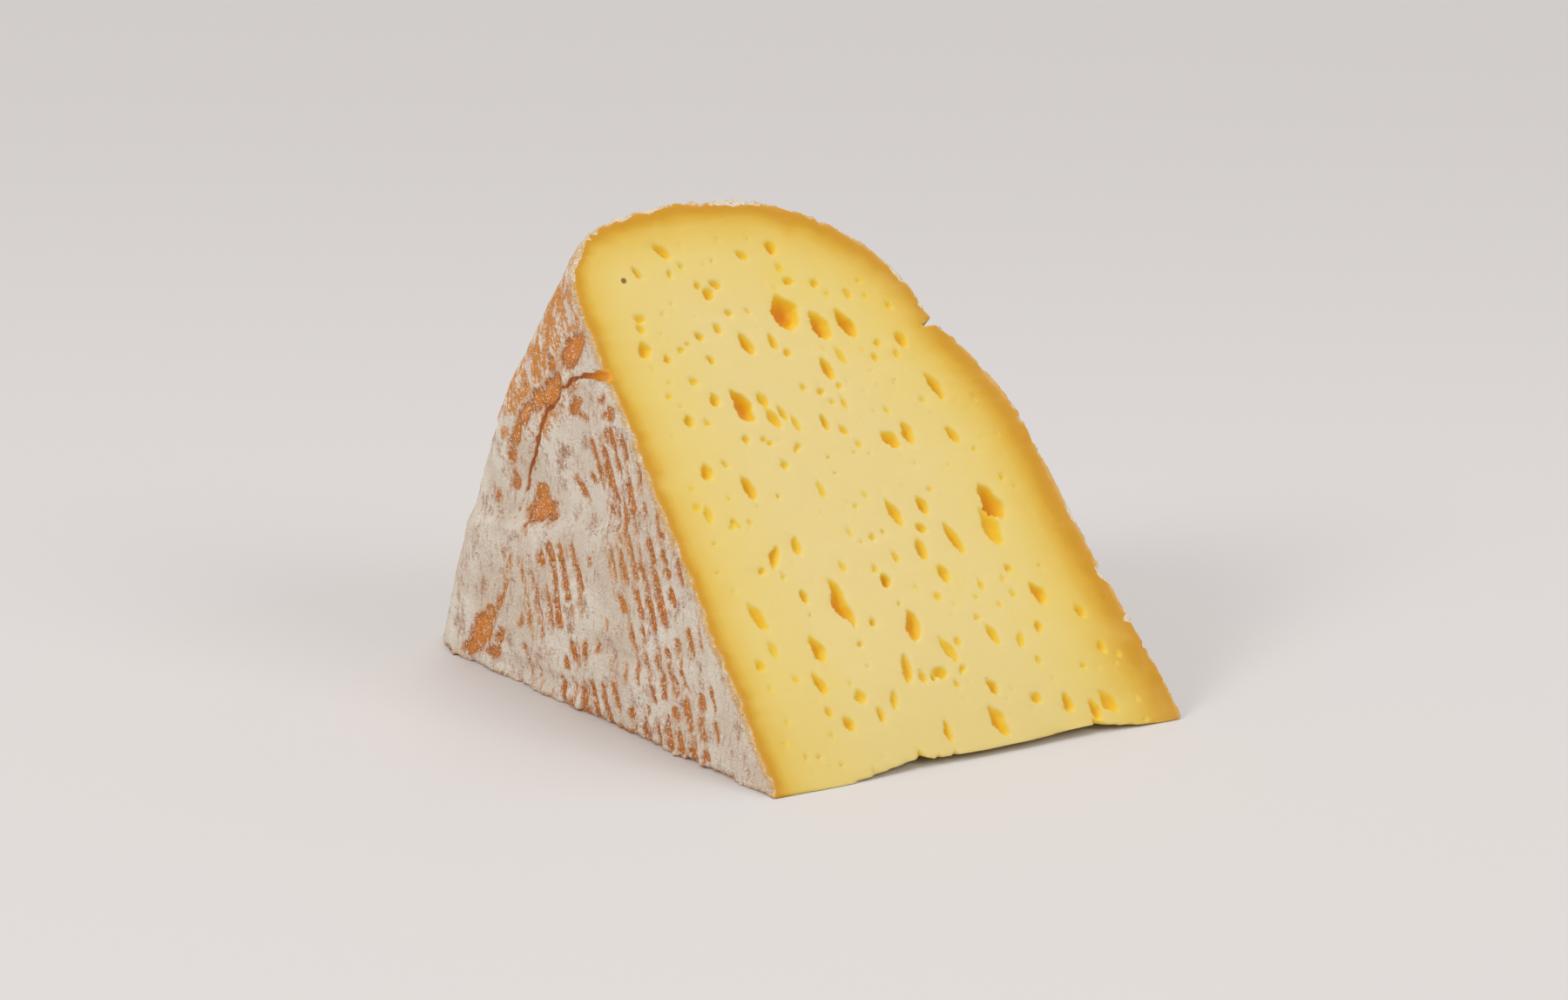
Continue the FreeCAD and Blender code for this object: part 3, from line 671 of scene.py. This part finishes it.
def rind_field(points, across, drop):
    """Signed distance to the wheel with the relief of its rinds."""
    wheel = SECTION_TABLE(across, drop)
    near = np.abs(wheel) < BAND
    bare = bare_depth(points[near], across[near], drop[near])
    relief = np.zeros(wheel.shape)
    relief[near] = rind_relief(points[near], across[near], bare)
    return wheel + relief


def cut_field(points):
    """Distance above the upper cut face, which the knife has left slightly wavy."""
    top = upper_cut(points)
    near = np.abs(top) < BAND
    top[near] += 0.14 * BROAD(points[near], 17.0) + 0.05 * MIDDLE(points[near], 4.0)
    return top


def base_field(points):
    """Distance below the lower cut face."""
    base = front_edge_lift(points) - points[..., 2]
    near = np.abs(base) < BAND
    base[near] += 0.04 + 0.04 * MIDDLE(points[near], 6.0)
    return base


def cut_crack(field, points, across, wheel):
    """Cut the crack of the left rind into a field."""
    near = (across < -41) & (wheel > -4) & (wheel < BAND)
    inside, width = crack_depth(points[near])
    groove = inside + np.minimum(wheel[near], 0) * width / (2 * CRACK_DEPTH)
    field[near] = np.maximum(field[near], groove)


def block_field(points):
    """Signed distance to the block without its eyes."""
    across, drop = wheel_places(points)
    wheel = rind_field(points, across, drop)
    field = smooth_max(wheel, cut_field(points), CUT_ROUNDING)
    field = smooth_max(field, base_field(points), CUT_ROUNDING)
    field = np.maximum(field, -split_field(points))
    cut_crack(field, points, across, wheel)
    return field


def filled_grid():
    grid = Grid()
    for start in range(0, grid.shape[0], SLAB):
        part = (slice(start, min(start + SLAB, grid.shape[0])), slice(None), slice(None))
        grid.field[part] = block_field(grid.points(part))
    carve_eyes(grid)
    return grid


# ---- Mesh and attributes ----
def main_piece(points, faces):
    """Only the largest connected piece, without loose crumbs and shut bubbles."""
    label = np.arange(len(points))
    while True:
        lowest = label[faces].min(1)
        step = label.copy()
        np.minimum.at(step, faces.ravel(), np.repeat(lowest, 3))
        step = step[step]
        if (step == label).all():
            break
        label = step
    kept = label == np.bincount(label).argmax()
    number = np.cumsum(kept) - 1
    return points[kept], number[faces[kept[faces[:, 0]]]]


def surface(grid):
    """Triangles where the field is nought, as points in mm and corner numbers."""
    volume = openvdb.FloatGrid(background=BAND + 1)
    volume.copyFromArray(np.clip(grid.field, -BAND, BAND).astype(np.float32))
    points, triangles, quads = volume.convertToPolygons(isovalue=0.0, adaptivity=0.0)
    halves = [triangles[:, :3]] if len(triangles) else []
    halves += [quads[:, [0, 1, 2]], quads[:, [0, 2, 3]]]
    faces = np.concatenate(halves).astype(np.int64)
    points = grid.low + STEP * points
    points, faces = main_piece(points, faces)
    corners = points[faces]
    volume_sign = np.einsum("ij,ij->i", corners[:, 0], np.cross(corners[:, 1], corners[:, 2])).sum()
    return points, faces if volume_sign > 0 else faces[:, ::-1]


def to_world(points):
    return (points + KNIFE_ORIGIN) * MM


def to_knife(points):
    return points / MM - KNIFE_ORIGIN


def mesh_object(name, points, faces):
    mesh = bpy.data.meshes.new(name)
    mesh.from_pydata(to_world(points), [], faces)
    made = bpy.data.objects.new(name, mesh)
    bpy.context.scene.collection.objects.link(made)
    return made


def thin_out(made):
    """Merge triangles where the surface is plain, down to the most that the piece may have."""
    count = len(made.data.polygons)
    if count <= MAX_TRIANGLES:
        return
    modifier = made.modifiers.new("thin out", "DECIMATE")
    modifier.ratio = MAX_TRIANGLES / count
    modifier.use_collapse_triangulate = True
    graph = bpy.context.evaluated_depsgraph_get()
    thinned = bpy.data.meshes.new_from_object(made.evaluated_get(graph))
    made.modifiers.clear()
    made.data = thinned


def tan_share(points, drop, left):
    """How far the bloom has turned tan, by the heel and above the board."""
    return ramp(drop, 30, 15) * ramp(points[..., 2], 36, 62) * (0.55 + 0.45 * left)


def add_attributes(mesh):
    """Give each vertex the values that its colour depends on.

    They are depths and distances in mm, but for "crumbs" and "tan", which are shares.
    """
    flat = np.empty(len(mesh.vertices) * 3)
    mesh.vertices.foreach_get("co", flat)
    points = to_knife(flat.reshape(-1, 3))
    across, drop = wheel_places(points)
    left = left_share(across)
    bare = bare_depth(points, across, drop)
    inset = -(SECTION_TABLE(across, drop) + rind_relief(points, across, bare))
    below_cut = -upper_cut(points)
    above_base = points[..., 2] - front_edge_lift(points)
    values = {
        "inset": inset,
        "aged": inset * np.interp(across, *np.array(AGEING).T),
        "crumbs": crumbs(points),
        "bare": bare,
        "sunk": np.minimum(below_cut, above_base).clip(0, 4),
        "crack": np.where(left > 0.5, crack_depth(points)[0], OUTSIDE),
        "tan": tan_share(points, drop, left),
        "to_cut": below_cut,
    }
    for name, value in values.items():
        layer = mesh.attributes.new(name, "FLOAT", "POINT")
        layer.data.foreach_set("value", value.astype(np.float32))


# ---- Material ----
class Shader:
    """A few short ways to add nodes to one material."""

    def __init__(self, name):
        self.material = bpy.data.materials.new(name)
        self.material.use_nodes = True
        self.tree = self.material.node_tree
        self.tree.nodes.clear()

    def node(self, kind, inputs=None, **settings):
        """A new node; its inputs, by name or number, take sockets or plain values."""
        made = self.tree.nodes.new("ShaderNode" + kind)
        for name, value in settings.items():
            setattr(made, name, value)
        for name, value in (inputs or {}).items():
            if isinstance(value, bpy.types.NodeSocket):
                self.tree.links.new(value, made.inputs[name])
            else:
                made.inputs[name].default_value = value
        return made

    def math(self, operation, *values):
        return self.node("Math", dict(enumerate(values)), operation=operation).outputs[0]

    def add(self, value, other, times=1.0):
        """A value plus so many times another."""
        return self.math("MULTIPLY_ADD", other, times, value)

    def place(self):
        return self.node("TexCoord").outputs["Object"]

    def axes(self):
        """The places along X, Y and Z, in metres."""
        return self.node("SeparateXYZ", {0: self.place()}).outputs

    def value(self, name):
        return self.node("Attribute", attribute_name=name).outputs["Fac"]

    def noise(self, wavelength, detail=3.0, roughness=0.5, stretch=(1, 1, 1), lean=0.0, seed=0.0):
        """Noise from about -1 to 1 whose features are a wavelength (mm) apart.

        A stretch below 1 draws the features out along that axis, after a lean towards the back.
        """
        turned = self.node("Mapping", {"Vector": self.place(), "Rotation": (math.radians(lean), 0, 0)})
        scale = [part / (wavelength * MM) for part in stretch]
        placed = {"Vector": turned.outputs[0], "Location": (seed, -seed, seed * 2), "Scale": scale}
        place = self.node("Mapping", placed).outputs[0]
        settings = {"Vector": place, "Scale": 1.0, "Detail": detail, "Roughness": roughness}
        return self.math("MULTIPLY_ADD", self.node("TexNoise", settings).outputs["Fac"], 4.0, -2.0)

    def step(self, value, start, end, most=1.0):
        """0 at start, most at end, smooth between and level beyond."""
        inputs = {"Value": value, "From Min": start, "From Max": end, "To Max": most}
        return self.node("MapRange", inputs, interpolation_type="SMOOTHSTEP").outputs[0]

    def ramp(self, value, stops):
        """Colours at places along a value; each stop is (place, colour)."""
        low, high = stops[0][0], stops[-1][0]
        share = self.math("DIVIDE", self.math("SUBTRACT", value, low), high - low)
        made = self.node("ValToRGB", {"Fac": share})
        colours = made.color_ramp.elements
        while len(colours) < len(stops):
            colours.new(0.5)
        for element, (place, colour) in zip(colours, stops):
            element.position = (place - low) / (high - low)
            element.color = srgb(*colour)
        return made.outputs["Color"]

    def mix(self, share, first, second, blend="MIX"):
        """A share of the second colour over the first."""
        first, second = (srgb(*part) if isinstance(part, tuple) else part for part in (first, second))
        inputs = {0: share, 6: first, 7: second}
        return self.node("Mix", inputs, data_type="RGBA", blend_type=blend).outputs[2]

    def finish(self, inputs):
        """Make the surface, from the inputs of its Principled node."""
        surface = self.node("BsdfPrincipled", inputs).outputs[0]
        self.node("OutputMaterial", {"Surface": surface})
        return self.material


def srgb(red, green, blue):
    """Linear colour with alpha, from 0-255 values."""
    parts = [part / 255 for part in (red, green, blue)]
    return tuple(p / 12.92 if p <= 0.04045 else ((p + 0.055) / 1.055) ** 2.4 for p in parts) + (1.0,)


# Colours are the 0-255 values that a screen shows.
# Colours from the rind inwards on a cut face: (mm from the rind, colour).
PASTE_COLOURS = (
    (0, (224, 180, 106)), (0.7, (210, 152, 44)), (1.5, (208, 150, 28)), (2.3, (212, 157, 32)),
    (3.4, (221, 174, 54)), (5.2, (228, 192, 86)), (7.6, (231, 200, 104)), (11, (232, 206, 120)),
    (24, (232, 209, 137)),
)
PASTE_SMEAR = (240, 222, 158)
PASTE_BOARD_SHADE = (246, 244, 224)  # painted shade, which the paste is multiplied by down at the board
# How fast the colour changes inwards, from the left rind over the heel to the right rind, against
# the rate of the table: (place across the wheel, rate).
AGEING = ((-42.0, 1.4), (-30.0, 1.0), (20.0, 0.9), (35.0, 0.6))
# Colours from the cut face down into an eye, painted shade that deepens to orange with depth: (mm deep,
# colour).
EYE_SHADE_COLOURS = (
    (0.05, (233, 208, 122)), (0.3, (236, 200, 68)), (0.8, (238, 189, 36)), (1.5, (237, 172, 16)),
    (2.6, (230, 142, 6)),
)
# Colours from the bloom into a bared mark: (mm inside the mark's outline, colour). The darker band just
# inside the outline is painted shade along the mark's sunken edge.
BARE_COLOURS = (
    (-1.2, (240, 226, 210)), (-0.8, (236, 212, 190)), (-0.4, (222, 172, 130)), (-0.1, (180, 102, 54)),
    (0.15, (210, 128, 58)), (0.8, (232, 146, 62)), (2.2, (236, 132, 42)),
)
BLOOM_PALE = (249, 237, 221)
BLOOM_GREY = (231, 212, 191)
BLOOM_PINK = (231, 197, 178)
BLOOM_WORN = (190, 154, 122)
BLOOM_STREAK = (194, 148, 114)
HEEL_TAN = (228, 149, 68)
SPECK_BROWN = (142, 96, 62)
FRINGE = (232, 188, 120)
FRINGE_PALE = (244, 228, 204)
CRUMB_PALE = (250, 241, 229)
MARK_TAN = (216, 148, 72)
# The crack's own orange, and a browner colour that is painted shade further back in its groove.
CRACK_FRONT = (232, 158, 48)
CRACK_BACK_SHADED = (186, 108, 48)
DARK_SPECK = (0.9, 104.1)  # along the front edge, up the cut face
MARK_SHIFT = -0.38  # mm, draws the bared marks in to their true width
HEEL_STREAK_LEAN = 34.0  # degrees towards the front of the streaks by the heel
# How the surface takes light: (input, its value on the paste, what the rind adds to it).
FINISH = (
    ("Roughness", 0.46, 0.36),
    ("Specular IOR Level", 0.27, -0.12),
    ("Subsurface Weight", 0.22, -0.22),
)


def with_dark_speck(look, colour):
    """The one dark speck in the paste, near the left end of the top of the cut face."""
    along, up = DARK_SPECK
    places = {0: look.place(), 1: to_world(ALONG * along + CUT_UP * up)}
    away = look.node("VectorMath", places, operation="DISTANCE").outputs["Value"]
    return look.mix(look.step(away, 0.75 * MM, 0.4 * MM), colour, SPECK_BROWN)


def paste_colour(look, inset):
    """Golden by the rind and paler inwards, with painted shade: deeper yellow to orange down in the eyes,
    and darker towards the board.
    """
    cloud = look.noise(9.0)
    smear = look.noise(3.0, stretch=(0.12, 1, 1), seed=31.0)
    colour = look.ramp(look.add(look.value("aged"), cloud, 0.35), PASTE_COLOURS)
    colour = look.mix(look.step(smear, 0.0, 1.4, 0.12), colour, PASTE_SMEAR)
    # Painted shade: the paste is darkened towards the board over its lowest 26 mm.
    low = look.step(look.axes()["Z"], 26 * MM, 0.0, 0.6)
    colour = look.mix(low, colour, PASTE_BOARD_SHADE, blend="MULTIPLY")
    sunk = look.value("sunk")
    # Painted shade in the eyes, from their depth below the cut face.
    in_eye = look.math("MULTIPLY", look.step(sunk, 0.04, 0.3), look.step(inset, 0.6, 3.0))
    return with_dark_speck(look, look.mix(in_eye, colour, look.ramp(sunk, EYE_SHADE_COLOURS)))


def rind_noises(look):
    """The noises that the parts of the rind's colour share."""
    fine = look.noise(0.9, roughness=0.6)
    grain = look.noise(0.36, detail=2.0, roughness=0.6, seed=3.0)
    broad = look.noise(13.0, seed=5.0)
    middle = look.noise(4.5, detail=4.0, seed=9.0)
    streaks = look.noise(0.8, roughness=0.65, stretch=(1, 1, 0.22), lean=-MAT_LEAN_DEGREES,
                         seed=17.0)
    rough = look.add(look.math("MULTIPLY", fine, 0.45), grain, 0.45)
    return fine, grain, broad, middle, streaks, rough


def bloom_colour(look, fine, broad, middle, streaks):
    """The pale bloom, with pink, worn and streaky parts."""
    bloom = look.mix(look.step(broad, -0.5, 0.7), BLOOM_PALE, BLOOM_GREY)
    bloom = look.mix(look.step(middle, 0.0, 1.0, 0.8), bloom, BLOOM_PINK)
    worn = look.add(look.add(fine, middle), broad, -0.35)
    bloom = look.mix(look.step(worn, 0.2, 1.2, 0.75), bloom, BLOOM_WORN)
    streaky = look.add(streaks, middle, 0.5)
    return look.mix(look.step(streaky, 0.1, 0.9, 0.75), bloom, BLOOM_STREAK)


def tan_level(look, middle, rough):
    """Above nought where the bloom has turned tan, in sloping streaks."""
    slope = look.noise(2.4, detail=4.0, roughness=0.6, stretch=(1, 1, 0.4), lean=HEEL_STREAK_LEAN,
                       seed=27.0)
    patchy = look.add(look.math("MULTIPLY_ADD", middle, 0.5, -1.05), slope, 0.9)
    return look.add(look.add(patchy, look.value("tan"), 1.25), rough)


def with_marks(look, bloom, broad, streaks, rough):
    """The bared marks over the bloom, with painted shade at their outlines."""
    shift = look.math("MULTIPLY_ADD", streaks, 0.45, MARK_SHIFT)
    bare = look.add(look.add(look.value("bare"), shift), rough)
    marks = look.mix(look.step(broad, -0.2, 0.6, 0.35), look.ramp(bare, BARE_COLOURS), MARK_TAN)
    return look.mix(look.step(bare, -1.2, -0.6), bloom, marks)


def with_fringe(look, colour, middle, rough):
    """The edging of the rind along the cut face, and the crumbs over the rim."""
    fringe = look.add(look.step(look.value("to_cut"), 3.0, 0.2), rough)
    edging = look.mix(look.step(middle, 0.1, 0.6), FRINGE, FRINGE_PALE)
    colour = look.mix(look.step(fringe, 0.45, 0.7, 0.85), colour, edging)
    crumbly = look.add(look.value("crumbs"), rough)
    return look.mix(look.step(crumbly, 0.25, 0.45), colour, FRINGE_PALE)


def with_specks(look, colour, fine, grain, middle, streaks):
    """Brown spots and pale grains over the whole rind."""
    slanted = look.noise(0.5, detail=2.0, stretch=(1, 0.5, 1.3), seed=13.0)
    spots = look.add(slanted, middle, 0.4)
    colour = look.mix(look.step(spots, 0.55, 0.85, 0.6), colour, SPECK_BROWN)
    grains = look.math("SUBTRACT", grain, look.add(fine, streaks, 0.6))
    return look.mix(look.step(grains, 0.5, 0.9, 0.7), colour, CRUMB_PALE)


def rind_colour(look):
    fine, grain, broad, middle, streaks, rough = rind_noises(look)
    colour = bloom_colour(look, fine, broad, middle, streaks)
    colour = look.mix(look.step(tan_level(look, middle, rough), -0.15, 0.15), colour, HEEL_TAN)
    colour = with_marks(look, colour, broad, streaks, rough)
    colour = with_fringe(look, colour, middle, rough)
    return with_specks(look, colour, fine, grain, middle, streaks)


def rind_share(look, inset, grain):
    """1 on the rind and 0 on the paste, with a rough line between them."""
    broad = look.noise(5.0, detail=2.0, seed=23.0)
    edge = look.add(look.math("MULTIPLY_ADD", broad, 0.22, 0.4), grain, 0.14)
    edge = look.add(edge, look.value("crumbs"), 0.9)
    in_paste = look.step(look.math("SUBTRACT", inset, edge), -0.08, 0.08)
    return look.math("SUBTRACT", 1.0, in_paste)


def with_crack(look, colour, inset):
    """The crack of the left rind, its own orange by the cut face, and browner further back, where the brown
    is painted shade in the groove.
    """
    in_crack = look.step(look.value("crack"), -0.1, 0.1)
    crack = look.math("MULTIPLY", in_crack, look.step(inset, 1.7, 1.2))
    back_from_cut = look.step(look.value("to_cut"), 1.0, 9.0)
    share = look.math("MULTIPLY", crack, look.step(inset, 0.02, 0.3))
    return look.mix(share, colour, look.mix(back_from_cut, CRACK_FRONT, CRACK_BACK_SHADED))


def cheese_material():
    """A soft waxy surface for the paste and a dry rough one for the rind."""
    look = Shader("cheese")
    inset = look.value("inset")
    grain = look.noise(0.6, roughness=0.6, seed=21.0)
    in_rind = rind_share(look, inset, grain)
    colour = look.mix(in_rind, paste_colour(look, inset), rind_colour(look))
    bump = {"Strength": look.math("MULTIPLY_ADD", in_rind, 0.7, 0.05), "Distance": 0.35 * MM,
            "Height": grain}
    inputs = {
        "Base Color": with_crack(look, colour, inset),
        "Normal": look.node("Bump", bump).outputs[0],
        "Subsurface Radius": (1.0, 0.6, 0.22),
        "Subsurface Scale": 1.8 * MM,
    }
    for name, paste, rind_adds in FINISH:
        inputs[name] = look.math("MULTIPLY_ADD", in_rind, rind_adds, paste)
    return look.finish(inputs)


# ---- Stage ----
CAMERA_PLACE = (-748.596, -1246.777, 480.371)  # mm
CAMERA_HEADING = 30.93  # degrees from +Y towards +X
CAMERA_PITCH = 17.0  # degrees below level
LENS = 180.0
FLOOR_SIZE = 9000.0
# The floor's colour near the camera, and a darker one far away that is painted shade.
FLOOR_NEAR = (221, 216, 213)
FLOOR_FAR_SHADED = (213, 208, 205)
WORLD_STRENGTH = 0.53
LIGHT_AIM = Vector((0, 0, 0.04))  # m
# (name, place in mm, side in mm, power in W)
LIGHTS = (
    ("overhead", (200, 400, 3000), 2200, 26.0),
    ("front right", (900, -2600, 1900), 1400, 22.5),
    ("left fill", (-2400, -500, 1700), 900, 24.0),
)


def add_floor():
    half = FLOOR_SIZE / 2 * MM
    corners = [(-half, -half, 0), (half, -half, 0), (half, half, 0), (-half, half, 0)]
    mesh = bpy.data.meshes.new("floor")
    mesh.from_pydata(corners, [], [(0, 1, 2, 3)])
    floor = bpy.data.objects.new("floor", mesh)
    bpy.context.scene.collection.objects.link(floor)
    look = Shader("floor")
    axes = look.axes()
    heading = math.radians(CAMERA_HEADING)
    by_y = look.math("MULTIPLY", axes["Y"], math.cos(heading))
    away = look.add(by_y, axes["X"], math.sin(heading))
    # Painted shade: the floor darkens away from the camera.
    colour = look.mix(look.step(away, 0.0, 0.5), FLOOR_NEAR, FLOOR_FAR_SHADED)
    matt = {"Base Color": colour, "Roughness": 0.9, "Specular IOR Level": 0.1}
    mesh.materials.append(look.finish(matt))


def add_light(name, place, size, power):
    """A square soft light, given in mm, that faces the block."""
    light = bpy.data.lights.new(name, "AREA")
    light.size = size * MM
    light.energy = power
    lamp = bpy.data.objects.new(name, light)
    lamp.location = [part * MM for part in place]
    lamp.rotation_euler = (LIGHT_AIM - lamp.location).to_track_quat("-Z", "Y").to_euler()
    bpy.context.scene.collection.objects.link(lamp)


def add_world():
    world = bpy.data.worlds.new("studio")
    world.use_nodes = True
    background = world.node_tree.nodes["Background"]
    background.inputs["Color"].default_value = (1.0, 1.0, 1.0, 1.0)
    background.inputs["Strength"].default_value = WORLD_STRENGTH
    bpy.context.scene.world = world


def add_camera():
    camera = bpy.data.cameras.new("camera")
    camera.lens = LENS
    camera.sensor_width = 36.0
    camera.clip_end = 20.0
    holder = bpy.data.objects.new("camera", camera)
    holder.location = [part * MM for part in CAMERA_PLACE]
    holder.rotation_euler = (math.radians(90 - CAMERA_PITCH), 0, math.radians(-CAMERA_HEADING))
    bpy.context.scene.collection.objects.link(holder)
    bpy.context.scene.camera = holder


def add_stage():
    add_floor()
    add_world()
    for light in LIGHTS:
        add_light(*light)
    add_camera()
    bpy.context.scene.view_settings.view_transform = "Standard"


# ---- The block ----
def add_cheese():
    points, faces = surface(filled_grid())
    cheese = mesh_object("cheese_block_look", points, faces)
    thin_out(cheese)
    add_attributes(cheese.data)
    cheese.data.shade_smooth()
    cheese.data.materials.clear()
    cheese.data.materials.append(cheese_material())
    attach(cheese, "root")
    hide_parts("cheese_block")


add_cheese()
add_stage()
